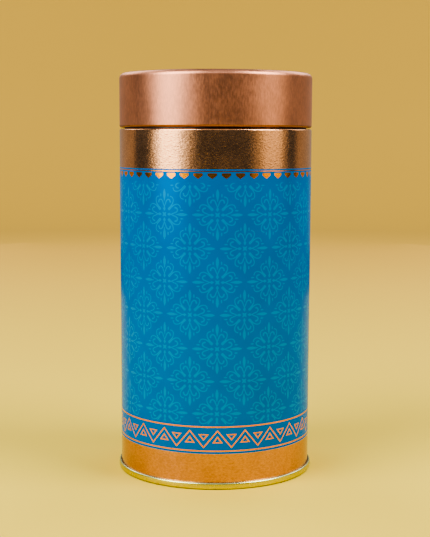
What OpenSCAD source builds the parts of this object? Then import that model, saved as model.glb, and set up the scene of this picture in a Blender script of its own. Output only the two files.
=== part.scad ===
// Round cookie tin with a flush slip lid.
// Every piece is sheet metal, drawn as the centreline of its section and then spun about Z.

/* [Tin] */
// Outside diameter of the body wall and of the lid
tin_d = 83; // [60:1:120]
// Overall height with the lid on
tin_h = 172; // [120:1:240]
// Thickness of every sheet
sheet_t = 0.3; // [0.25:0.01:0.35]

/* [Lid] */
// Height of the lid, from the top panel to the bottom of its rolled hem
lid_h = 23; // [20:0.1:30]
// Outside radius of the lid's top edge
lid_edge_r = 2.2; // [1.5:0.1:5]
// Outside radius of the rolled hem
hem_r = 1; // [0.8:0.05:1.2]
// How far the top panel is stamped in
lid_recess = 0.5; // [0.3:0.05:0.8]
// Width of the flat ring around the top panel
lid_ring_w = 5; // [3:0.5:10]

/* [Neck] */
// Gap between the body's shoulder and the lid's hem
lid_gap = 0.5; // [0.2:0.05:0.8]
// Outside radius of the body's shoulder
shoulder_r = 0.8; // [0.6:0.05:1.2]
// Clearance between the lid's hem and the neck, on the radius
neck_gap = 0.3; // [0.2:0.05:0.5]
// Height of the neck above the shoulder
neck_h = 15.5; // [10:0.5:18]
// Height of the collar's skirt, where it is fixed inside the wall
collar_skirt_h = 11; // [6:0.5:20]

/* [Bottom] */
// Height of the double seam
seam_h = 2.85; // [2.8:0.05:3.4]
// Radius of the bends at the foot of the double seam, to the middle of the sheet
foot_bend_r = 0.4; // [0.35:0.01:0.45]
// How far the sealing compound holds the seam's outer wall off the body hook
compound_t = 0.14; // [0.08:0.01:0.2]
// Height of the bottom panel above the surface that the tin stands on
panel_lift = 3.45; // [3:0.05:6]
// How far the middle of the bottom panel is stamped down
panel_step = 0.6; // [0.4:0.05:0.8]
// Width of the ring around the stamped middle
panel_ring_w = 6; // [4:0.5:10]

/* [Side seam] */
// Width of the welded lap down the back
lap_w = 1; // [0.6:0.1:1.5]
// How far the lap stands into the tin
lap_t = 0.15; // [0.1:0.05:0.25]

/* [Hidden] */

$fn = 180;
half_t = sheet_t / 2;
running_gap = 0.02;              // between sheets that are pressed together
wall_r = tin_d / 2 - half_t;     // middle of the body wall and of the lid's skirt
wall_in_r = tin_d / 2 - sheet_t;
lined_r = wall_in_r - running_gap - half_t; // middle of a sheet lying inside the wall

// Lid and neck
hem_z = tin_h - lid_h;
hem_mid_r = hem_r - half_t;
shoulder_z = hem_z - lid_gap;
neck_r = tin_d / 2 - 2 * hem_r - neck_gap - half_t;
curl_r = hem_mid_r;
joggle_r = 1;
joggle_angle = 45;
neck_top_z = shoulder_z + neck_h;
joggle_top_z = shoulder_z - shoulder_r;
joggle_h = s_length(lined_r - neck_r, joggle_r, joggle_angle);
skirt_top_z = joggle_top_z - joggle_h;
skirt_z = skirt_top_z - collar_skirt_h;

// Double seam, from the inside out: chuck wall, body wall, cover hook, body hook, outer wall
hook_gap = 0.03;
cover_hook_r = tin_d / 2 + hook_gap + half_t;
body_hook_r = cover_hook_r + sheet_t + hook_gap;
seam_wall_r = body_hook_r + sheet_t + compound_t;
body_bend_r = (body_hook_r - wall_r) / 2;
body_bend_z = sheet_t + 0.05 + body_bend_r + half_t;
cover_bend_r = (seam_wall_r - cover_hook_r) / 2;
cover_bend_z = seam_h - cover_bend_r - half_t;
body_hook_z = cover_bend_z - 0.35;
cover_hook_z = body_bend_z + 0.3;
panel_bend_r = 1;

// Shallow steps stamped into the panels
stamp_r = 0.6;
stamp_angle = 35;

// A point of a section: [radius, height, and the sheet's unit normal in the same two directions]
function point(r, z, angle) = [[r, z, cos(angle), sin(angle)]];

// A round bend about [r, z]; side is 1 where the normal points away from that centre, else -1
function bend(r, z, bend_r, from, to, side = 1, steps = 8) =
    [for (i = [0:steps])
        let (a = from + (to - from) * i / steps)
        [r + bend_r * cos(a), z + bend_r * sin(a), side * cos(a), side * sin(a)]];

// Length of the straight stretch between the two bends of an S that shifts a sheet sideways
function s_run(shift, bend_r, angle) = (shift - 2 * bend_r * (1 - cos(angle))) / sin(angle);

// How far such an S goes along the sheet
function s_length(shift, bend_r, angle) =
    2 * bend_r * sin(angle) + s_run(shift, bend_r, angle) * cos(angle);

// A panel that steps up by rise, ending at radius r and height z
function stamped_step(r, z, rise) =
    let (start_r = r - s_length(rise, stamp_r, stamp_angle))
    concat(
        bend(start_r, z - rise + stamp_r, stamp_r, -90, stamp_angle - 90, -1, 4),
        bend(r, z - stamp_r, stamp_r, 90 + stamp_angle, 90, 1, 4));

// Spins the sheet that follows a section
module spun_sheet(section) {
    outside = [for (p = section) [p[0] + p[2] * half_t, p[1] + p[3] * half_t]];
    inside = [for (i = [len(section) - 1:-1:0])
        let (p = section[i])
        [p[0] - p[2] * half_t, p[1] - p[3] * half_t]];
    rotate_extrude() polygon(concat(outside, inside));
}

// Welded lap of the rolled body, down the back on the inside
module side_seam(from_z, to_z) {
    lap_angle = lap_w / wall_in_r * 180 / PI;
    far = 2 * tin_d;
    translate([0, 0, from_z]) linear_extrude(to_z - from_z) intersection() {
        difference() {
            circle(r = wall_in_r + lap_t);
            circle(r = wall_in_r - lap_t);
        }
        polygon([[0, 0],
            far * [-sin(lap_angle / 2), cos(lap_angle / 2)],
            far * [sin(lap_angle / 2), cos(lap_angle / 2)]]);
    }
}

// Printed tinplate, rolled and welded, with a foot flange hooked into the double seam
module body_wall() color("#0f74ae") {
    spun_sheet(concat(
        point(body_hook_r, body_hook_z, 0),
        bend(body_hook_r - body_bend_r, body_bend_z, body_bend_r, 0, -180),
        bend(wall_r + half_t - shoulder_r, shoulder_z - shoulder_r, shoulder_r - half_t, 0, 90, -1),
        point(neck_r + half_t + running_gap, shoulder_z - half_t, -90)));
    side_seam(panel_lift + 2 * sheet_t, skirt_z - 1);
}

// Collar fixed inside the wall, which the lid slides down over
module neck_collar() color("#c9c5bb") {
    spun_sheet(concat(
        point(lined_r, skirt_z, 0),
        bend(lined_r - joggle_r, skirt_top_z, joggle_r, 0, joggle_angle),
        bend(neck_r + joggle_r, joggle_top_z, joggle_r, 180 + joggle_angle, 180, -1),
        bend(neck_r - curl_r, neck_top_z - curl_r - half_t, curl_r, 0, 250, 1, 20)));
}

// Stamped bottom, with its edge rolled round the foot of the wall
module bottom_end() color("#b9a548") {
    panel_z = panel_lift + half_t;
    foot_z = foot_bend_r + half_t;
    spun_sheet(concat(
        point(0, panel_z - panel_step, 90),
        stamped_step(lined_r - panel_bend_r - panel_ring_w, panel_z, panel_step),
        bend(lined_r - panel_bend_r, panel_z - panel_bend_r, panel_bend_r, 90, 0),
        bend(lined_r + foot_bend_r, foot_z, foot_bend_r, 180, 270, -1),
        bend(seam_wall_r - foot_bend_r, foot_z, foot_bend_r, 270, 360, -1),
        bend(seam_wall_r - cover_bend_r, cover_bend_z, cover_bend_r, 0, 180, -1),
        point(cover_hook_r, cover_hook_z, 0)));
}

// Ring of sealing compound between the body hook and the seam's outer wall
module seam_compound() color("#4c4a45") {
    rotate_extrude() translate([body_hook_r + half_t, body_bend_z])
        square([seam_wall_r - body_hook_r - sheet_t, body_hook_z - body_bend_z]);
}

// One-piece drawn lid with a rolled hem
module lid_shell() color("#b9744c") {
    top_z = tin_h - half_t;
    edge_bend_r = lid_edge_r - half_t;
    spun_sheet(concat(
        point(0, top_z - lid_recess, 90),
        stamped_step(wall_r - edge_bend_r - lid_ring_w, top_z, lid_recess),
        bend(wall_r - edge_bend_r, top_z - edge_bend_r, edge_bend_r, 90, 0),
        bend(wall_r - hem_mid_r, hem_z + hem_r, hem_mid_r, 0, -250, 1, 20)));
}

body_wall();
neck_collar();
bottom_end();
seam_compound();
lid_shell();
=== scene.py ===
import math

import bpy
from mathutils import Matrix, Vector
from mathutils.geometry import delaunay_2d_cdt


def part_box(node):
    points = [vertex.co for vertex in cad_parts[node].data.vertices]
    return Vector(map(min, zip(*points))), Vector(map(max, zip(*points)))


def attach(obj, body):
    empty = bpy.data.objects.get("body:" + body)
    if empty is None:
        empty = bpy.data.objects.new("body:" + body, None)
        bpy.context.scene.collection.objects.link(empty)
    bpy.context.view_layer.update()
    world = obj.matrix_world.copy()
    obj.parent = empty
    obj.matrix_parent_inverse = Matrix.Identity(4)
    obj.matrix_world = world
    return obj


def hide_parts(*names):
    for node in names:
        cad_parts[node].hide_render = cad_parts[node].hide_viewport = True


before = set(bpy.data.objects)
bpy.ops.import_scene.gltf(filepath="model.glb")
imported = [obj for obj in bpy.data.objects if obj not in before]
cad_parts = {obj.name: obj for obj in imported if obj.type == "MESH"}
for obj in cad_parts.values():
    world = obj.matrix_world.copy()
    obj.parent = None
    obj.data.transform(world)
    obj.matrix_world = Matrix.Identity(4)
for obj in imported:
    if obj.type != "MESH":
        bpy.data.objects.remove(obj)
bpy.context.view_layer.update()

MM = 0.001

# ------------------------------------------------------------------ sizes, in mm, from the frame

LID_LOW, LID_HIGH = (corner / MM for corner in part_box("lid_shell"))
WALL_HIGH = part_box("body_wall")[1] / MM
NECK_LOW, NECK_HIGH = (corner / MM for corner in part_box("neck_collar"))
END_LOW, END_HIGH = (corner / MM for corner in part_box("bottom_end"))

TIN_R = LID_HIGH.x           # outside of the lid, and of the wall above its seam
LID_TOP = LID_HIGH.z
HEM_Z = LID_LOW.z
SHOULDER_Z = WALL_HIGH.z
NECK_TOP = NECK_HIGH.z
SKIRT_Z = NECK_LOW.z
SEAM_R = END_HIGH.x          # outside of the bottom's double seam
PANEL_TOP = END_HIGH.z       # of the bottom panel, inside the seam
FOOT_Z = END_LOW.z
BODY_HOOK_R = WALL_HIGH.x

# ------------------------------------------------------------------ sizes, in mm, as in part.scad

SHEET = 0.3                  # every sheet
HALF = SHEET / 2
GAP = 0.02                   # between pieces that slide or are pressed together
WALL_R = TIN_R - HALF        # middle of the wall
LINED_R = WALL_R - SHEET - GAP
SEAM_TOP = 2.85
SHOULDER_BEND = 0.8
NECK_R = 39.05
NECK_CURL = 0.85
JOGGLE_BEND = 1.0
JOGGLE_ANGLE = 45
SKIRT_TOP = 144.89
JOGGLE_TOP = 147.7
HEM_BEND = 0.85
LID_BEND = 2.05
LID_RING = 5.0
LID_RECESS = 0.5
BODY_HOOK_BEND = 0.33
BODY_BEND_Z = 0.83           # middle of the bend at the foot of the body hook
BODY_HOOK_TOP = 1.965
COVER_BEND = 0.385
COVER_HOOK_R = 41.68
COVER_HOOK_LOW = 1.13
PANEL_BEND = 1.0
PANEL_RING = 6.0
PANEL_STEP = 0.6
FOOT_BEND = 0.4
STAMP_BEND = 0.6             # bends of the shallow steps in the panels
STAMP_ANGLE = 35
LAP_W = 1.0
LAP_T = 0.15

WELD_W, WELD_H, WELD_PITCH = 0.9, 0.07, 0.9
RIPPLE_MEAN, RIPPLE_SWING, RIPPLE_BOW = 0.72, 0.28, 1.6     # of the weld's bead
MARGIN_TOP = 0.012           # height of the bare margin over the wall
STRIP_BASE = 0.01            # how far the margin, bead and lap are let into what is under them
STRIP_LOW = SEAM_TOP + 0.05  # where the margin and the bead start
BARREL = 9                   # degrees that the seam's outer wall turns above and below its middle

TINY = 1e-6
SEGMENTS = 256               # round the tin
TURN = 2 * math.pi * TIN_R   # round the outside of the wall

# ------------------------------------------------------------------ the print, in mm, as in the photo

INK_BASE = 0.01              # how far an ink film is let into what is under it
INK_TOP = 0.02               # height of the blue film over the wall
MOTIF_TOP = 0.03             # height of the motifs' film over the wall
COPPER_TOP = 0.015           # height of the lines' and ornaments' lacquer over the wall
MARGIN_W = 2.6               # the bare margin along the weld
PRINT_END = TURN / 2 - MARGIN_W / 2
PRINT_STEP = 0.8             # a film's longest edge round the tin

LABEL_TOP = 132.2
TOP_LINE = (131.65, 131.2)   # the thin copper line, high and low edge
UPPER_LINE = (26.75, 26.15)
LOWER_LINE = (16.55, 15.95)
LABEL_LOW = 15.05

LOBE_COUNT = 45
LOBE_STEP, LOBE_START = math.radians(7.93) * TIN_R, math.radians(-1.8) * TIN_R
LOBE_TOP, LOBE_W, LOBE_H = 130.65, 3.9, 2.3

ZIGZAG_STEP, ZIGZAG_START = math.radians(16.05) * TIN_R, math.radians(1.6) * TIN_R
ZIGZAG_LOW, ZIGZAG_HIGH = 17.8, 24.8
ZIGZAG_SIDE = 12             # its repeats on each side of the front
STROKE = 0.55
BLUNT_TIP = 0.17
CURVE_STEPS = 3              # between a pen stroke's points
CAP_REACH, CAP_W = 0.43, 0.5             # a pen stroke's round end, in widths of the stroke
TRIANGLE_UP = (19.6, 22.65, 2.25)        # a small triangle's base, apex and half width
TRIANGLE_DOWN = (23.45, 20.6, 2.3)
TRIANGLE_MIDDLE = 0.35       # how far up from its base to its apex its island is centred
TRIANGLE_ISLAND = 0.53       # its island's size next to its own

MOTIF_STEP, MOTIF_START = math.radians(31.2) * TIN_R, math.radians(1.2) * TIN_R
MOTIF_ROWS = (127.4, 113.9, 100.25, 86.55, 73.05, 59.1, 45.55, 32.0)
MOTIF_LOW, MOTIF_HIGH = 27.6, 126.75
MOTIF_REACH = 11             # half a medallion's width, and a little more
MOTIF_SIDE = 7               # medallions in a row on each side of the front


# ------------------------------------------------------------------ sheet-metal sections

def point(r, z, angle):
    """One point of a sheet's centreline, where the sheet's normal is at angle."""
    return [(r, z, math.cos(math.radians(angle)), math.sin(math.radians(angle)))]


def bend(r, z, bend_r, start, end, side=1, steps=10):
    """A sheet's bend about (r, z), as points of its centreline with the sheet's normal."""
    angles = [math.radians(start + (end - start) * i / steps) for i in range(steps + 1)]
    return [(r + bend_r * math.cos(a), z + bend_r * math.sin(a), side * math.cos(a), side * math.sin(a))
            for a in angles]


def step_up(r, z, rise):
    """A shallow stamped step that ends at (r, z), the height of rise above where it starts."""
    a = math.radians(STAMP_ANGLE)
    run = (rise - 2 * STAMP_BEND * (1 - math.cos(a))) / math.sin(a)
    start_r = r - 2 * STAMP_BEND * math.sin(a) - run * math.cos(a)
    return (bend(start_r, z - rise + STAMP_BEND, STAMP_BEND, -90, STAMP_ANGLE - 90, -1, 6)
            + bend(r, z - STAMP_BEND, STAMP_BEND, 90 + STAMP_ANGLE, 90, 1, 6))


def place(s, z, r):
    """The place at s mm round the tin from its front, z mm up and r mm out."""
    turn = s / TIN_R
    return Vector((r * math.sin(turn), -r * math.cos(turn), z)) * MM


def add_object(name, mesh, materials, normals):
    """An object from a mesh, with these materials and corner normals."""
    for material in materials:
        mesh.materials.append(material)
    mesh.polygons.foreach_set("use_smooth", [True] * len(mesh.polygons))
    mesh.normals_split_custom_set(normals)
    obj = bpy.data.objects.new(name, mesh)
    bpy.context.scene.collection.objects.link(obj)
    return obj


def lathe(name, section, normal_side, other_side):
    """A sheet that follows section, spun about Z, with a material on the face that its normals
    point out of and one on the other face, which also has its edges."""
    (r0, z0, nr, nz), (r1, z1, _, _) = section[:2]
    if nr * (z1 - z0) < nz * (r1 - r0):
        section = section[::-1]
    outer = [(r + nr * HALF, z + nz * HALF, nr, nz) for r, z, nr, nz in section]
    inner = [(r - nr * HALF, z - nz * HALF, -nr, -nz) for r, z, nr, nz in reversed(section)]
    outline = outer + inner
    verts, rings = [], []
    for r, z, _, _ in outline:
        if abs(r) < TINY:
            rings.append([len(verts)] * SEGMENTS)
            verts.append((0, 0, z * MM))
        else:
            rings.append(list(range(len(verts), len(verts) + SEGMENTS)))
            verts.extend(place(TURN * i / SEGMENTS, z, r) for i in range(SEGMENTS))
    faces, slots, normals = [], [], []
    for k in range(len(outline)):
        after = (k + 1) % len(outline)
        edge = k in (len(outer) - 1, len(outline) - 1)
        dr, dz = outline[after][0] - outline[k][0], outline[after][1] - outline[k][1]
        if edge and (math.hypot(dr, dz) < TINY or rings[k][0] == rings[k][-1]):
            continue
        for i in range(SEGMENTS):
            j = (i + 1) % SEGMENTS
            corners = [(rings[k][i], k, i), (rings[k][j], k, j), (rings[after][j], after, j),
                       (rings[after][i], after, i)]
            if rings[k][0] == rings[k][-1]:
                corners.pop(1)
            if rings[after][0] == rings[after][-1]:
                corners.pop(2)
            faces.append([corner[0] for corner in corners])
            slots.append(0 if k < len(outer) - 1 else 1)
            for _, ring, at in corners:
                nr, nz = outline[ring][2:]
                if edge:
                    nr, nz = dz, -dr
                turn = 2 * math.pi * at / SEGMENTS
                normals.append(Vector((nr * math.sin(turn), -nr * math.cos(turn), nz)).normalized())
    mesh = bpy.data.meshes.new(name)
    mesh.from_pydata(verts, [], faces)
    mesh.polygons.foreach_set("material_index", slots)
    return add_object(name, mesh, [normal_side, other_side], normals)


def strip(name, profile, columns, low, high, material):
    """A closed strip up the tin's back along a profile of (r, z, nr, nz), with a column at each s
    mm from the back's middle. Its two faces stand low and high(z, s) mm off the profile."""
    over = [[place(TURN / 2 + s, z + nz * high(z, s), r + nr * high(z, s)) for s in columns]
            for r, z, nr, nz in profile]
    under = [[place(TURN / 2 + s, z + nz * low, r + nr * low) for s in columns]
             for r, z, nr, nz in profile]
    rows, wide = len(profile) - 1, len(columns) - 1
    verts = [v for grid in (over, under) for row in grid for v in row]

    def at(layer, k, c):
        return (layer * (rows + 1) + k) * (wide + 1) + c

    def outward(k, c):
        along = over[k][min(c + 1, wide)] - over[k][max(c - 1, 0)]
        up = over[min(k + 1, rows)][c] - over[max(k - 1, 0)][c]
        return along.cross(up).normalized()

    faces, normals, sides = [], [], []
    for k in range(rows):
        for c in range(wide):
            corners = [(k, c), (k, c + 1), (k + 1, c + 1), (k + 1, c)]
            faces.append([at(0, *corner) for corner in corners])
            normals += [outward(*corner) for corner in corners]
            faces.append([at(1, *corner) for corner in corners[::-1]])
            normals += [-outward(*corner) for corner in corners[::-1]]
        sides.append([at(0, k, wide), at(1, k, wide), at(1, k + 1, wide), at(0, k + 1, wide)])
        sides.append([at(0, k, 0), at(0, k + 1, 0), at(1, k + 1, 0), at(1, k, 0)])
    for c in range(wide):
        sides.append([at(0, rows, c), at(0, rows, c + 1), at(1, rows, c + 1), at(1, rows, c)])
        sides.append([at(0, 0, c), at(1, 0, c), at(1, 0, c + 1), at(0, 0, c + 1)])
    for a, b, c, d in sides:
        normals += [(verts[b] - verts[a]).cross(verts[d] - verts[a]).normalized()] * 4
    mesh = bpy.data.meshes.new(name)
    mesh.from_pydata(verts, [], faces + sides)
    return add_object(name, mesh, [material], normals)


# ------------------------------------------------------------------ ink films

def cut_shape(outlines, wanted, ends=(-PRINT_END, PRINT_END), heights=()):
    """Flat triangles where wanted(set of the outlines' indices there) is true, between ends.
    They are cut into narrow columns, so that they can bend round the tin. heights, where it is
    given, is the lowest and highest z."""
    verts, faces, edges = [], [], []
    for outline in outlines:
        faces.append(list(range(len(verts), len(verts) + len(outline))))
        verts.extend(Vector(p) for p in outline)
    left, right = min(v.x for v in verts), max(v.x for v in verts)
    low, high = min(v.y for v in verts) - 1, max(v.y for v in verts) + 1
    first, last = math.ceil(left / PRINT_STEP), math.ceil(right / PRINT_STEP)
    columns = [PRINT_STEP * i for i in range(first, last)]
    for s in columns + [end for end in ends if left < end < right]:
        edges.append((len(verts), len(verts) + 1))
        verts += [Vector((s, low)), Vector((s, high))]
    for z in heights:
        edges.append((len(verts), len(verts) + 1))
        verts += [Vector((left - 1, z)), Vector((right + 1, z))]
    bottom, top = heights if heights else (low, high)
    out, _, triangles, _, _, found = delaunay_2d_cdt(verts, edges, faces, 0, 1e-5, True)
    kept = []
    for triangle, inside in zip(triangles, found):
        middle = (out[triangle[0]] + out[triangle[1]] + out[triangle[2]]) / 3
        if (inside and wanted(set(inside)) and ends[0] < middle.x < ends[1]
                and bottom < middle.y < top):
            kept.append(list(triangle))
    return out, kept


def film(name, shapes, top, material):
    """Thin closed solids round the wall, one for each flat (vertices, triangles), s and z shift."""
    verts, faces, normals = [], [], []
    for (flat, triangles), shift_s, shift_z in shapes:
        used = sorted({i for triangle in triangles for i in triangle})
        if not used:
            continue
        base = len(verts)
        index = {old: base + new for new, old in enumerate(used)}
        count = len(used)
        spots = [(flat[i].x + shift_s, flat[i].y + shift_z) for i in used]
        verts += [place(s, z, TIN_R + top) for s, z in spots]
        verts += [place(s, z, TIN_R - INK_BASE) for s, z in spots]
        around = [place(s, 0, 1).normalized() for s, z in spots]
        edges = {}
        for triangle in triangles:
            a, b, c = (index[i] for i in triangle)
            faces.append((a, b, c))
            normals += [around[i - base] for i in (a, b, c)]
            faces.append((c + count, b + count, a + count))
            normals += [-around[i - base] for i in (c, b, a)]
            for edge in ((a, b), (b, c), (c, a)):
                edges[edge] = edges.get(edge, 0) + 1
        for a, b in edges:
            if (b, a) not in edges:
                side = (b, a, a + count, b + count)
                faces.append(side)
                across = (verts[a] - verts[b]).cross(around[a - base]).normalized()
                normals += [across] * 4
    mesh = bpy.data.meshes.new(name)
    mesh.from_pydata(verts, [], faces)
    return add_object(name, mesh, [material], normals)


def catmull_rom(points):
    """A smooth curve through points of any size."""
    ends = [tuple(2 * a - b for a, b in zip(points[0], points[1]))] + list(points)
    ends.append(tuple(2 * a - b for a, b in zip(points[-1], points[-2])))
    curve = []
    for k in range(len(points) - 1):
        p0, p1, p2, p3 = ends[k:k + 4]
        for i in range(CURVE_STEPS):
            t = i / CURVE_STEPS
            curve.append(tuple(0.5 * (2 * b + (c - a) * t + (2 * a - 5 * b + 4 * c - d) * t * t
                                      + (3 * b - a - 3 * c + d) * t ** 3)
                               for a, b, c, d in zip(p0, p1, p2, p3)))
    return curve + [tuple(points[-1])]


def stroke(points):
    """Outline of a pen stroke with round ends through points (x, y, width)."""
    line = catmull_rom(points)
    left, right = [], []
    for i, (x, y, width) in enumerate(line):
        before, after = line[max(i - 1, 0)], line[min(i + 1, len(line) - 1)]
        along = Vector((after[0] - before[0], after[1] - before[1])).normalized()
        across = Vector((-along.y, along.x)) * width / 2
        left.append(Vector((x, y)) + across)
        right.append(Vector((x, y)) - across)
        if i == 0:
            start = [Vector((x, y)) - along * width * CAP_REACH + across * side for side in (CAP_W, -CAP_W)]
        if i == len(line) - 1:
            end = [Vector((x, y)) + along * width * CAP_REACH + across * side for side in (-CAP_W, CAP_W)]
    return start + right + end + left[::-1]


def drop(x, y, width, height):
    """A teardrop outline that points up."""
    return [(x + width / 2 * math.sin(a) * (0.75 + 0.25 * math.cos(a)) ** 0.5,
             y - height / 2 * math.cos(a))
            for a in (2 * math.pi * i / 10 for i in range(10))]


def motif_outlines():
    """The medallion: one arm's strokes, mirrored and turned four times, and a small star."""
    hook = stroke([(0, 3.1, 0.35), (0.55, 4.4, 0.45), (1.0, 5.5, 0.5), (1.75, 6.05, 0.55),
                   (2.5, 5.7, 0.6), (2.75, 4.95, 0.7)])
    scroll = stroke([(2.0, 2.2, 0.9), (3.1, 3.4, 0.6), (3.95, 4.8, 0.45), (4.1, 6.1, 0.45),
                     (3.6, 6.95, 0.45), (2.75, 7.25, 0.5)])
    spear = stroke([(0, 5.3, 0.2), (0, 6.4, 0.7), (0, 7.5, 1.15), (0, 8.9, 1.15), (0, 9.9, 0.6),
                    (0, 10.2, 0.3)])
    bulb = stroke([(0, 1.75, 0.7), (0, 2.3, 1.2), (0, 2.8, 0.6), (0, 3.3, 0.4)])
    leaf = drop(1.72, 7.85, 0.7, 1.5)
    mirrored = [[(-x, y) for x, y in outline] for outline in (hook, scroll, leaf)]
    arm = [hook, mirrored[0], scroll, mirrored[1], leaf, mirrored[2], spear, bulb]
    outlines = []
    for c, s in ((1, 0), (0, 1), (-1, 0), (0, -1)):
        outlines += [[(c * x - s * y, s * x + c * y) for x, y in outline] for outline in arm]
    star = []
    for i in range(4):
        for turn, r in ((45, 1.34), (67.5, 0.8), (90, 0.62), (112.5, 0.8)):
            a = math.radians(turn + 90 * i)
            star.append((r * math.cos(a), r * math.sin(a)))
    outlines.append(star)
    return [outline if turned_left(outline) else outline[::-1] for outline in outlines]


def turned_left(outline):
    """Whether an outline runs anticlockwise."""
    area = sum(a[0] * b[1] - b[0] * a[1] for a, b in zip(outline, outline[1:] + outline[:1]))
    return area > 0


def lobe(s, z):
    """One lobe of the scalloped edge that hangs under the top line."""
    half = [(LOBE_W / 2 - 0.3, 0), (LOBE_W / 2 - 0.08, -0.12), (LOBE_W / 2, -0.4),
            (LOBE_W / 2 - 0.06, -0.95), (LOBE_W / 2 - 0.5, -1.3), (0.45, -LOBE_H + 0.3),
            (0.15, -LOBE_H + 0.03), (0, -LOBE_H)]
    right = [(s + x, z + y) for x, y in half]
    left = [(s - x, z + y) for x, y in half[-2::-1]]
    return (right + left)[::-1]


def zigzag():
    """The zigzag line's outline round the whole print, its tips cut blunt."""
    half = ZIGZAG_STEP / 2
    slope = math.atan2(ZIGZAG_HIGH - ZIGZAG_LOW, half)
    miter = STROKE / 2 / math.cos(slope)
    above, below = [], []
    for i in range(-2 * ZIGZAG_SIDE, 2 * ZIGZAG_SIDE + 1):
        s, z = ZIGZAG_START + half * i, (ZIGZAG_LOW if i % 2 else ZIGZAG_HIGH)
        for side, edge in ((1, above), (-1, below)):
            outward = (side > 0) == (i % 2 == 0)
            blunt = BLUNT_TIP / math.tan(slope) if outward else 0
            tip = z + side * (miter - (BLUNT_TIP if outward else 0))
            edge += [(s - blunt, tip), (s + blunt, tip)] if outward else [(s, tip)]
    return below + above[::-1]


def small_triangle(s, base, apex, half_w):
    """The outer outline of an outlined triangle, and that of the blue island inside it."""
    outer = [Vector((s - half_w, base)), Vector((s + half_w, base)), Vector((s, apex))]
    middle = Vector((s, base + (apex - base) * TRIANGLE_MIDDLE))
    inner = [middle + (corner - middle) * TRIANGLE_ISLAND for corner in outer]
    pair = [[tuple(p) for p in outer], [tuple(p) for p in inner]]
    return [outline if turned_left(outline) else outline[::-1] for outline in pair]


def ornaments():
    """Outlines of the lobes, and of the border: its strokes and the blue islands inside them."""
    lobes = [lobe(LOBE_START + LOBE_STEP * i, LOBE_TOP)
             for i in range(-LOBE_COUNT // 2, LOBE_COUNT // 2 + 1)]
    strokes, islands = [zigzag()], []
    for i in range(-ZIGZAG_SIDE, ZIGZAG_SIDE + 1):
        s = ZIGZAG_START + ZIGZAG_STEP * i
        for outer, inner in (small_triangle(s, *TRIANGLE_UP),
                             small_triangle(s + ZIGZAG_STEP / 2, *TRIANGLE_DOWN)):
            strokes.append(outer)
            islands.append(inner)
    return lobes, strokes, islands


def band(low, high):
    """A strip all round the print, which reaches past its ends."""
    left, right = -PRINT_END - 1, PRINT_END + 1
    return [(left, low), (right, low), (right, high), (left, high)]


def label_film(material):
    """The blue print: bands with gaps for the copper lines, and windows for the ornaments."""
    lobes, strokes, islands = ornaments()
    plain = cut_shape([band(TOP_LINE[0], LABEL_TOP), band(LABEL_LOW, LOWER_LINE[1])],
                      lambda at: True)
    field = cut_shape([band(UPPER_LINE[0], TOP_LINE[1])] + lobes, lambda at: at == {0})
    border = cut_shape([band(LOWER_LINE[0], UPPER_LINE[1])] + strokes + islands,
                       lambda at: 0 in at and (len(at) == 1 or max(at) > len(strokes)))
    return film("label_blue", [(plain, 0, 0), (field, 0, 0), (border, 0, 0)], INK_TOP, material)


def copper_film(material):
    """The lines and ornaments that show bright copper between the blue."""
    lobes, strokes, islands = ornaments()
    lines = cut_shape([band(low, high) for high, low in (TOP_LINE, UPPER_LINE, LOWER_LINE)],
                      lambda at: True)
    marks = cut_shape(strokes + islands, lambda at: max(at) < len(strokes))
    return film("label_copper", [(lines, 0, 0), (cut_shape(lobes, lambda at: True), 0, 0),
                                 (marks, 0, 0)], COPPER_TOP, material)


def motif_row(number, z, material):
    """One row of medallions, cut where the print ends."""
    start = MOTIF_START + (MOTIF_STEP / 2 if number % 2 == 0 else 0)
    outlines = motif_outlines()
    heights = (max(MOTIF_LOW - z, -MOTIF_REACH), min(MOTIF_HIGH - z, MOTIF_REACH))
    whole, shapes = None, []
    for column in range(-MOTIF_SIDE, MOTIF_SIDE + 1):
        s = start + MOTIF_STEP * column
        ends = (max(-PRINT_END - s, -MOTIF_REACH), min(PRINT_END - s, MOTIF_REACH))
        if ends == (-MOTIF_REACH, MOTIF_REACH):
            whole = whole or cut_shape(outlines, lambda at: True, ends, heights)
            shapes.append((whole, s, z))
        elif ends[0] < ends[1]:
            shapes.append((cut_shape(outlines, lambda at: True, ends, heights), s, z))
    return film("motif_row_%d" % (number + 1), shapes, MOTIF_TOP, material)


# ------------------------------------------------------------------ materials

def new_material(name):
    material = bpy.data.materials.new(name)
    material.use_nodes = True
    tree = material.node_tree
    return material, tree, tree.nodes["Principled BSDF"]


def math_node(tree, operation, a, b=None):
    node = tree.nodes.new("ShaderNodeMath")
    node.operation = operation
    for socket, value in zip(node.inputs, (a, b)):
        if isinstance(value, (int, float)):
            socket.default_value = value
        elif value is not None:
            tree.links.new(value, socket)
    return node.outputs[0]


def stretched(tree, across, up):
    """Object coordinates, which are metres in the frame, times across sideways and up in Z."""
    scaled = tree.nodes.new("ShaderNodeVectorMath")
    scaled.operation = "MULTIPLY"
    tree.links.new(tree.nodes.new("ShaderNodeTexCoord").outputs["Object"], scaled.inputs[0])
    scaled.inputs[1].default_value = (across, across, up)
    return scaled.outputs[0]


def radius_and_height(tree):
    """How far out of the tin's axis a point is, and how high, in metres."""
    split = tree.nodes.new("ShaderNodeSeparateXYZ")
    tree.links.new(stretched(tree, 1.0, 1.0), split.inputs[0])
    squares = [math_node(tree, "POWER", split.outputs[axis], 2.0) for axis in "XY"]
    return math_node(tree, "SQRT", math_node(tree, "ADD", *squares)), split.outputs["Z"]


def noise(tree, vector, scale, detail=3.0, rough=0.5):
    node = tree.nodes.new("ShaderNodeTexNoise")
    node.inputs["Scale"].default_value = scale
    node.inputs["Detail"].default_value = detail
    node.inputs["Roughness"].default_value = rough
    tree.links.new(vector, node.inputs["Vector"])
    return node.outputs[0]


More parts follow.
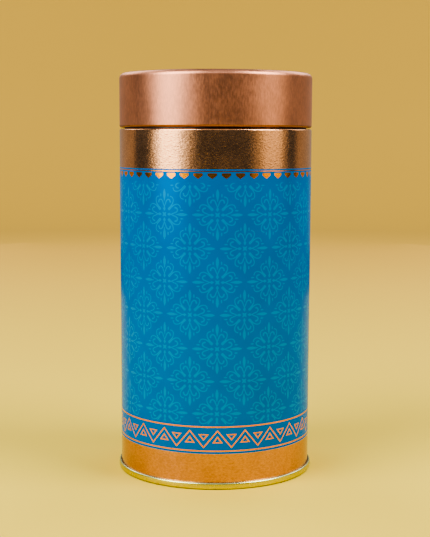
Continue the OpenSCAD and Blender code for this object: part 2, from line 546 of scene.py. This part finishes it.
def ramp(tree, value, low, high, from_low=0.3, from_high=0.7):
    """value from one range to another, clamped."""
    node = tree.nodes.new("ShaderNodeMapRange")
    for name, number in (("From Min", from_low), ("From Max", from_high),
                         ("To Min", low), ("To Max", high)):
        node.inputs[name].default_value = number
    tree.links.new(value, node.inputs["Value"])
    return node.outputs[0]


def blend_colours(tree, value, first, second, how="MIX"):
    """first and second, each a colour or a socket, blended by value, a number or a socket."""
    node = tree.nodes.new("ShaderNodeMix")
    node.data_type = "RGBA"
    node.blend_type = how
    for socket, given in ((node.inputs[0], value), (node.inputs[6], first), (node.inputs[7], second)):
        if isinstance(given, tuple):
            socket.default_value = (*given, 1)
        elif isinstance(given, float):
            socket.default_value = given
        else:
            tree.links.new(given, socket)
    return node.outputs[2]


def bump(tree, shader, height, strength, distance):
    node = tree.nodes.new("ShaderNodeBump")
    node.inputs["Strength"].default_value = strength
    node.inputs["Distance"].default_value = distance
    tree.links.new(height, node.inputs["Height"])
    tree.links.new(node.outputs[0], shader.inputs["Normal"])


def tinned(name, dark, light, rough, grain=(900, 1500), grain_height=0.000004, blotch=140,
           painted_shade=None, painted_highlight=None):
    """Lacquered or plain tinplate: two close shades, fine grain and uneven gloss. grain is the
    grain's count per metre across and up the tin, and blotch the blotches' per metre. Given a
    height and a tint, a painted shade multiplies the colour below that height. Given a height, a
    radius and a colour, a painted highlight turns the metal to that colour above the height and
    past the radius. Heights and radii are in metres."""
    material, tree, shader = new_material(name)
    shader.inputs["Metallic"].default_value = 1.0
    fine = noise(tree, stretched(tree, *grain), 1.0, 2.0, 0.6)
    cloud = noise(tree, stretched(tree, 1.0, 1.0), blotch, 3.0)
    radius, height = radius_and_height(tree)
    mixed = math_node(tree, "ADD", math_node(tree, "MULTIPLY", cloud, CLOUD_SHARE),
                      math_node(tree, "MULTIPLY", fine, 1 - CLOUD_SHARE))
    colour = blend_colours(tree, ramp(tree, mixed, 0, 1, *MIXED_RANGE), dark, light)
    # painted shade: the colour below the height is multiplied by the tint, standing in for shade and darker
    # reflection
    if painted_shade:
        above = ramp(tree, height, 0, 1, painted_shade[0] - PAINTED_SHADE_EDGE, painted_shade[0])
        tint = blend_colours(tree, above, painted_shade[1], WHITE)
        colour = blend_colours(tree, 1.0, colour, tint, "MULTIPLY")
    # painted highlight: the colour above the height and past the radius turns paler, standing in for a
    # highlight
    if painted_highlight:
        painted_highlight_mask = math_node(tree, "MULTIPLY", ramp(tree, height, 0, 1, painted_highlight[0] - HIGHLIGHT_EDGE, painted_highlight[0]),
                         math_node(tree, "GREATER_THAN", radius, painted_highlight[1]))
        colour = blend_colours(tree, painted_highlight_mask, colour, painted_highlight[2])
    tree.links.new(colour, shader.inputs["Base Color"])
    uneven = math_node(tree, "ADD", ramp(tree, fine, *rough), ramp(tree, cloud, -0.02, 0.02))
    tree.links.new(uneven, shader.inputs["Roughness"])
    bump(tree, shader, fine, 1.0, grain_height)
    return material


def ink(name, dark, light):
    """Glossy printing ink, which lets a little of the plate's gloss through."""
    material, tree, shader = new_material(name)
    shader.inputs["Metallic"].default_value = 0.18
    shader.inputs["Specular IOR Level"].default_value = 0.06
    shader.inputs["Specular Tint"].default_value = (0.15, 0.80, 1.0, 1)
    shader.inputs["Coat Weight"].default_value = 0.05
    shader.inputs["Coat Roughness"].default_value = 0.05
    fine = noise(tree, stretched(tree, 1300, 1700), 1.0, 2.0)
    cloud = noise(tree, stretched(tree, 1.0, 1.0), 90, 3.0)
    colour = blend_colours(tree, ramp(tree, cloud, 0, 1), dark, light)
    tree.links.new(colour, shader.inputs["Base Color"])
    tree.links.new(ramp(tree, fine, 0.20, 0.27), shader.inputs["Roughness"])
    bump(tree, shader, fine, 1.0, 0.000001)
    return material


def rubber(name):
    material, tree, shader = new_material(name)
    grain = noise(tree, stretched(tree, 1.0, 1.0), 1500, 3.0)
    colour = blend_colours(tree, ramp(tree, grain, 0, 1), (0.030, 0.028, 0.026), (0.055, 0.05, 0.046))
    tree.links.new(colour, shader.inputs["Base Color"])
    tree.links.new(ramp(tree, grain, 0.55, 0.75), shader.inputs["Roughness"])
    bump(tree, shader, grain, 0.4, 0.00003)
    return material


WHITE = (1.0, 1.0, 1.0)
CLOUD_SHARE = 0.3            # of the blotches in a metal's colour; the rest is its grain
MIXED_RANGE = (0.38, 0.62)   # of the two together, from a metal's dark shade to its light one
PAINTED_SHADE_EDGE, HIGHLIGHT_EDGE = 0.0004, 0.00012     # metres over which a painted shade or a painted highlight comes in
PAINTED_SHADE_H = 1.1                 # height in mm of the painted shade along the lid's hem and on the neck, by the gap between them
FOOT_SHADE_Z = 0.6           # height in mm below which the bottom's rim is darkened: a painted contact shadow at its foot
CREST_HIGHLIGHT_Z = SEAM_TOP - 0.25    # height in mm above which the rim's crest is lightened: a painted highlight
COPPER_GLOSS = tinned("copper_gloss", (0.63, 0.325, 0.155), (0.83, 0.435, 0.21), (0.14, 0.20),
                      grain=(900, 1600), grain_height=0.00007,
                      # painted shade: the lower band's copper is darkened and dulled, standing in for its
                      # darker reflection
                      painted_shade=(LABEL_LOW * MM, (0.82, 0.80, 1.22)))
COPPER_BRIGHT = tinned("copper_bright", (0.88, 0.32, 0.02), (0.98, 0.38, 0.03), (0.14, 0.20),
                       grain=(900, 1600), grain_height=0.00003)
COPPER_SATIN = tinned("copper_satin", (0.56, 0.255, 0.15), (0.70, 0.32, 0.19), (0.34, 0.40),
                      grain=(1500, 500), grain_height=0.000010,
                      # painted shade: the lid's hem is darkened, standing in for the shade in the gap under
                      # it
                      painted_shade=((HEM_Z + PAINTED_SHADE_H) * MM, (0.5, 0.5, 0.5)))
GOLD_LACQUER = tinned("gold_lacquer", (0.60, 0.56, 0.16), (0.66, 0.61, 0.19), (0.20, 0.28),
                      grain=(900, 900), grain_height=0.000002,
                      # painted shade: the rim's foot is darkened, standing in for a contact shadow on the
                      # floor
                      painted_shade=(FOOT_SHADE_Z * MM, (0.2, 0.2, 0.2)),
                      # painted highlight: the rim's crest is paler, standing in for a highlight along it
                      painted_highlight=(CREST_HIGHLIGHT_Z * MM, (COVER_HOOK_R - HALF - GAP) * MM, (0.72, 0.82, 0.45)))
TINPLATE = tinned("tinplate", (0.66, 0.645, 0.61), (0.77, 0.75, 0.71), (0.20, 0.30))
NECK_TINPLATE = tinned("neck_tinplate", (0.50, 0.485, 0.46), (0.58, 0.565, 0.54), (0.40, 0.50),
                       # painted shade: the neck is darkened just above the shoulder, standing in for the
                       # shade in the gap under the lid's hem
                       grain=(2600, 300), painted_shade=((SHOULDER_Z + PAINTED_SHADE_H) * MM, (0.25, 0.25, 0.25)))
WELD = tinned("weld_tint", (0.30, 0.27, 0.23), (0.52, 0.48, 0.43), (0.35, 0.5), blotch=700)
BLUE_INK = ink("blue_ink", (0.003, 0.138, 0.432), (0.003, 0.150, 0.462))
TEAL_INK = ink("teal_ink", (0.004, 0.226, 0.497), (0.004, 0.240, 0.527))
RUBBER = rubber("seam_rubber")


# ------------------------------------------------------------------ pieces

def tin_wall():
    section = point(BODY_HOOK_R - HALF, BODY_HOOK_TOP, 0)
    section += bend(BODY_HOOK_R - HALF - BODY_HOOK_BEND, BODY_BEND_Z, BODY_HOOK_BEND, 0, -180)
    section += bend(TIN_R - SHOULDER_BEND, SHOULDER_Z - SHOULDER_BEND, SHOULDER_BEND - HALF, 0, 90, -1)
    section += point(NECK_R + HALF + GAP, SHOULDER_Z - HALF, -90)
    return lathe("tin_wall", section, TINPLATE, COPPER_GLOSS)


def neck():
    section = point(LINED_R, SKIRT_Z, 0)
    section += bend(LINED_R - JOGGLE_BEND, SKIRT_TOP, JOGGLE_BEND, 0, JOGGLE_ANGLE)
    section += bend(NECK_R + JOGGLE_BEND, JOGGLE_TOP, JOGGLE_BEND, 180 + JOGGLE_ANGLE, 180, -1)
    section += bend(NECK_R - NECK_CURL, NECK_TOP - NECK_CURL - HALF, NECK_CURL, 0, 250, 1, 24)
    return lathe("neck", section, NECK_TINPLATE, TINPLATE)


def wall_outside(low, step):
    """The wall's outer face as a profile, from low up and over the shoulder to the neck."""
    bend_z = SHOULDER_Z - SHOULDER_BEND
    rows = math.ceil((bend_z - low) / step)
    profile = [(TIN_R, low + (bend_z - low) * i / rows, 1, 0) for i in range(rows)]
    profile += bend(TIN_R - SHOULDER_BEND, bend_z, SHOULDER_BEND, 0, 90)
    return profile + point(NECK_R + HALF + 3 * GAP, SHOULDER_Z, 90)


def seam_margin():
    """The bare margin that the print stops at, on each side of the weld."""
    columns = [(MARGIN_W / 2 - 0.01) * i / 4 for i in range(-4, 5)]
    return strip("seam_margin", wall_outside(STRIP_LOW, 3), columns, -STRIP_BASE,
                 lambda z, s: MARGIN_TOP, TINPLATE)


def weld_bead():
    """The low rippled bead of the weld down the back, its nuggets WELD_PITCH apart."""
    def high(z, s):
        crown = 1 - (2 * s / WELD_W) ** 2
        turn = 2 * math.pi * (z / WELD_PITCH + RIPPLE_BOW * (s / WELD_W) ** 2)
        return MARGIN_TOP + WELD_H * crown * (RIPPLE_MEAN + RIPPLE_SWING * math.cos(turn))
    columns = [WELD_W / 2 * i / 5 for i in range(-5, 6)]
    return strip("weld_bead", wall_outside(STRIP_LOW, WELD_PITCH / 6), columns, -STRIP_BASE, high, WELD)


def inside_lap():
    """The edge of the wall's sheet that laps over the other inside, down the back."""
    r = WALL_R - HALF
    low, high = PANEL_TOP + SHEET, SKIRT_Z - 1
    profile = [(r, low + (high - low) * i / 40, -1, 0) for i in range(41)]
    columns = [LAP_W / 2 * i / 5 for i in range(5, -6, -1)]
    return strip("inside_lap", profile, columns, -STRIP_BASE,
                 lambda z, s: LAP_T * (1 - 0.6 * (2 * s / LAP_W) ** 8), WELD)


def barrel():
    """The seam's foot bend, its slightly rounded outer wall, and its top bend."""
    low, high = FOOT_Z + HALF + FOOT_BEND, SEAM_TOP - HALF - COVER_BEND
    turn = math.radians(BARREL)
    rise = high + COVER_BEND * math.sin(turn) - low + FOOT_BEND * math.sin(turn)
    barrel_r = rise / 2 / math.sin(turn)
    inset = barrel_r * (1 - math.cos(turn))
    edge_r = SEAM_R - HALF - inset
    middle_z = low - FOOT_BEND * math.sin(turn) + rise / 2
    return (bend(edge_r - FOOT_BEND * math.cos(turn), low, FOOT_BEND, 270, 360 - BARREL, -1)
            + bend(SEAM_R - HALF - barrel_r, middle_z, barrel_r, -BARREL, BARREL, -1, 8)
            + bend(edge_r - COVER_BEND * math.cos(turn), high, COVER_BEND, BARREL, 180, -1, 14))


def bottom():
    panel_z = PANEL_TOP - HALF
    section = point(0, panel_z - PANEL_STEP, 90)
    section += step_up(LINED_R - PANEL_BEND - PANEL_RING, panel_z, PANEL_STEP)
    section += bend(LINED_R - PANEL_BEND, panel_z - PANEL_BEND, PANEL_BEND, 90, 0)
    section += bend(LINED_R + FOOT_BEND, FOOT_Z + FOOT_BEND + HALF, FOOT_BEND, 180, 270, -1)
    section += barrel()
    section += point(COVER_HOOK_R, COVER_HOOK_LOW, 0)
    return lathe("bottom", section, TINPLATE, GOLD_LACQUER)


def lid():
    top_z = LID_TOP - HALF
    section = point(0, top_z - LID_RECESS, 90)
    section += step_up(WALL_R - LID_BEND - LID_RING, top_z, LID_RECESS)
    section += bend(WALL_R - LID_BEND, top_z - LID_BEND, LID_BEND, 90, 0, 1, 14)
    section += bend(WALL_R - HEM_BEND, HEM_Z + HALF + HEM_BEND, HEM_BEND, 0, -250, 1, 24)
    return lathe("lid", section, COPPER_SATIN, TINPLATE)


PIECES = [
    (tin_wall(), "tin", "printed_tinplate", ["body_wall"]),
    (neck(), "tin", "bare_tinplate", ["neck_collar"]),
    (bottom(), "tin", "gold_lacquered_tinplate", ["bottom_end"]),
    (lid(), "lid", "copper_lacquered_tinplate", ["lid_shell"]),
    (label_film(BLUE_INK), "tin", "printed_tinplate", []),
    (copper_film(COPPER_BRIGHT), "tin", "printed_tinplate", []),
    (seam_margin(), "tin", "bare_tinplate", []),
    (weld_bead(), "tin", "bare_tinplate", []),
    (inside_lap(), "tin", "bare_tinplate", []),
]
PIECES += [(motif_row(i, z, TEAL_INK), "tin", "printed_tinplate", [])
           for i, z in enumerate(MOTIF_ROWS)]
for piece, body, slot, nodes in PIECES:
    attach(piece, body)
    if nodes:
        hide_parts(*nodes)

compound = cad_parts["seam_compound"]
compound.data.materials.clear()
compound.data.materials.append(RUBBER)


# ------------------------------------------------------------------ stage, lights and camera, in m

STAGE_SEGMENTS = 96
STAGE_MIDDLE = 0.001         # inner radius of the floor's rings
FLOOR_R = 0.6
SWEEP_R, SWEEP_BEND, SWEEP_H = 1.6, 0.25, 1.6
TIN_MIDDLE = 0.08            # height that the lights face, unless they say another
WARM, GOLD = (1.0, 0.86, 0.64), (1.0, 0.76, 0.46)
CREAM, STRAW = (0.76, 0.555, 0.075), (0.54, 0.335, 0.065)


def plain_material(name, colour, far_colour, near, far, glow):
    """Matte colour that turns from colour to far_colour, and starts to glow, between two
    distances from the tin's axis, so that the floor runs into the backdrop without an edge."""
    material, tree, shader = new_material(name)
    away = ramp(tree, radius_and_height(tree)[0], 0, 1, near, far)
    tree.links.new(blend_colours(tree, away, colour, far_colour), shader.inputs["Base Color"])
    shader.inputs["Roughness"].default_value = 0.8
    shader.inputs["Emission Color"].default_value = (*far_colour, 1)
    tree.links.new(math_node(tree, "MULTIPLY", away, glow), shader.inputs["Emission Strength"])
    return material


def ring_sheet(name, profile, material):
    """A stage surface: a profile of (r, z) spun about Z, and closed if it starts in the middle."""
    count = STAGE_SEGMENTS
    turns = [2 * math.pi * i / count for i in range(count)]
    verts, faces = [], []
    for r, z in profile:
        verts += [(r * math.sin(a), r * math.cos(a), z) for a in turns]
    for k in range(len(profile) - 1):
        for i in range(count):
            j = (i + 1) % count
            faces.append([k * count + i, k * count + j, (k + 1) * count + j, (k + 1) * count + i])
    if profile[0][0] == STAGE_MIDDLE:
        faces.append(list(range(count)))
    mesh = bpy.data.meshes.new(name)
    mesh.from_pydata(verts, [], faces)
    mesh.materials.append(material)
    mesh.polygons.foreach_set("use_smooth", [True] * len(mesh.polygons))
    obj = bpy.data.objects.new(name, mesh)
    bpy.context.scene.collection.objects.link(obj)
    return obj


def softbox(name, turn, lift, distance, width, height, radiance, aim_z=TIN_MIDDLE, colour=WHITE):
    """A flat light that faces the tin, at aim_z up its axis, from turn degrees round towards +X
    and lift degrees up. Its size and distance are in metres."""
    light = bpy.data.lights.new(name, "AREA")
    light.shape = "RECTANGLE"
    light.size, light.size_y = width, height
    light.energy = radiance * math.pi * width * height
    light.color = colour
    obj = bpy.data.objects.new(name, light)
    a, up = math.radians(turn), math.radians(lift)
    away = Vector((math.sin(a) * math.cos(up), -math.cos(a) * math.cos(up), math.sin(up)))
    obj.location = Vector((0, 0, aim_z)) + away * distance
    obj.rotation_euler = (-away).to_track_quat("-Z", "Y").to_euler()
    obj.visible_camera = False
    bpy.context.scene.collection.objects.link(obj)
    return obj


SWEEP = plain_material("sweep_cream", CREAM, STRAW, 0.15, 1.0, 0.72)
ring_sheet("floor", [(STAGE_MIDDLE, 0), (FLOOR_R / 2, 0), (FLOOR_R, 0)], SWEEP)
curve = [(SWEEP_R - SWEEP_BEND * (1 - math.sin(a)), SWEEP_BEND * (1 - math.cos(a)))
         for a in (math.radians(10 * i) for i in range(10))]
backdrop = ring_sheet("backdrop", [(FLOOR_R, 0), (1.0, 0)] + curve + [(SWEEP_R, SWEEP_H)], SWEEP)
backdrop.visible_glossy = backdrop.visible_diffuse = backdrop.visible_shadow = False

# name, turn, lift, distance, width, height, radiance
softbox("key_left_soft", -52, 0, 0.92, 1.05, 0.66, 0.22, aim_z=0.38)
softbox("key_left_wide", -54, 0, 0.90, 0.74, 0.62, 0.9, aim_z=0.37)
softbox("key_left_core", -55, 0, 0.88, 0.40, 0.54, 2.5, aim_z=0.35)
softbox("key_left_high", -52, 42, 1.0, 0.66, 0.62, 5.2)
softbox("key_right", 67, 0, 0.90, 0.78, 0.62, 0.33, aim_z=0.37, colour=WARM)
softbox("key_right_core", 69, 0, 0.88, 0.42, 0.56, 0.70, aim_z=0.35, colour=WARM)
softbox("key_right_high", 66, 42, 1.0, 0.60, 0.60, 6.6)
softbox("front_high", 0, 42, 1.05, 0.90, 0.45, 0.8)
softbox("overhead", 0, 90, 1.15, 0.80, 0.80, 0.45)
softbox("back_high_left", -140, 40, 1.05, 0.70, 0.60, 2.0)
softbox("back_high_right", 140, 40, 1.05, 0.70, 0.60, 2.0)
softbox("rear_left", -138, 0, 1.0, 1.1, 0.8, 0.27, aim_z=0.4, colour=GOLD)
softbox("rear_right", 138, 0, 1.0, 1.1, 0.8, 0.27, aim_z=0.4, colour=GOLD)

world = bpy.data.worlds.new("studio")
world.use_nodes = True
world.node_tree.nodes["Background"].inputs["Color"].default_value = (0.70, 0.82, 1.0, 1)
world.node_tree.nodes["Background"].inputs["Strength"].default_value = 0.145
bpy.context.scene.world = world

CAMERA_PLACE = (-0.00006, -0.5176, 0.14494)     # fitted to the photo
CAMERA_PITCH = 7.586         # degrees down
CAMERA_ROLL = 0.165
camera_data = bpy.data.cameras.new("camera")
camera_data.sensor_fit = "VERTICAL"
camera_data.sensor_height = 24
camera_data.lens = 52.85
camera_data.shift_y = 0.049
camera_data.clip_start = 0.01
camera = bpy.data.objects.new("camera", camera_data)
camera.location = CAMERA_PLACE
tilt = Matrix.Rotation(math.radians(90 - CAMERA_PITCH), 3, "X")
camera.rotation_euler = (tilt @ Matrix.Rotation(math.radians(CAMERA_ROLL), 3, "Z")).to_euler()
bpy.context.scene.collection.objects.link(camera)
bpy.context.scene.camera = camera
bpy.context.scene.view_settings.view_transform = "AgX"
bpy.context.scene.view_settings.look = "AgX - High Contrast"
